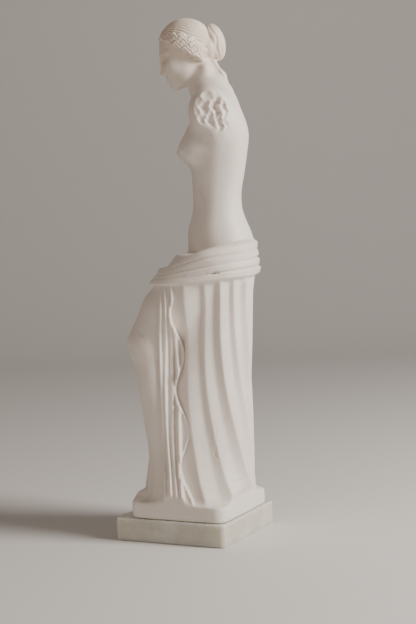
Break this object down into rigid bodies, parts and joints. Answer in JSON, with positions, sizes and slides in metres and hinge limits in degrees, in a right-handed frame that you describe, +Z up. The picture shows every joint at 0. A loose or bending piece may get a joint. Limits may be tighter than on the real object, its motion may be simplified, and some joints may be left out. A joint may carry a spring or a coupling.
{
  "type": "goddess statuette",
  "caption": "Half-draped standing goddess with arms broken at the shoulders and hair in a knot, cast in the round with her own base, resting on a square stone plinth.",
  "frame": {"origin": "centre of the plinth's underside", "axes": "+Z up through the plinth and the figure; X and Y square to the plinth's sides; the figure faces -Y turned 25.9 degrees toward +X"},
  "size_m": [0.0783, 0.0775, 0.2993],
  "materials": {
    "figure": "satin white cast marble, slightly translucent",
    "plinth": "polished pale grey-green stone, slightly translucent"
  },
  "bodies": {
    "root": {"figure": "figure", "plinth": "plinth"}
  },
  "joints": []
}
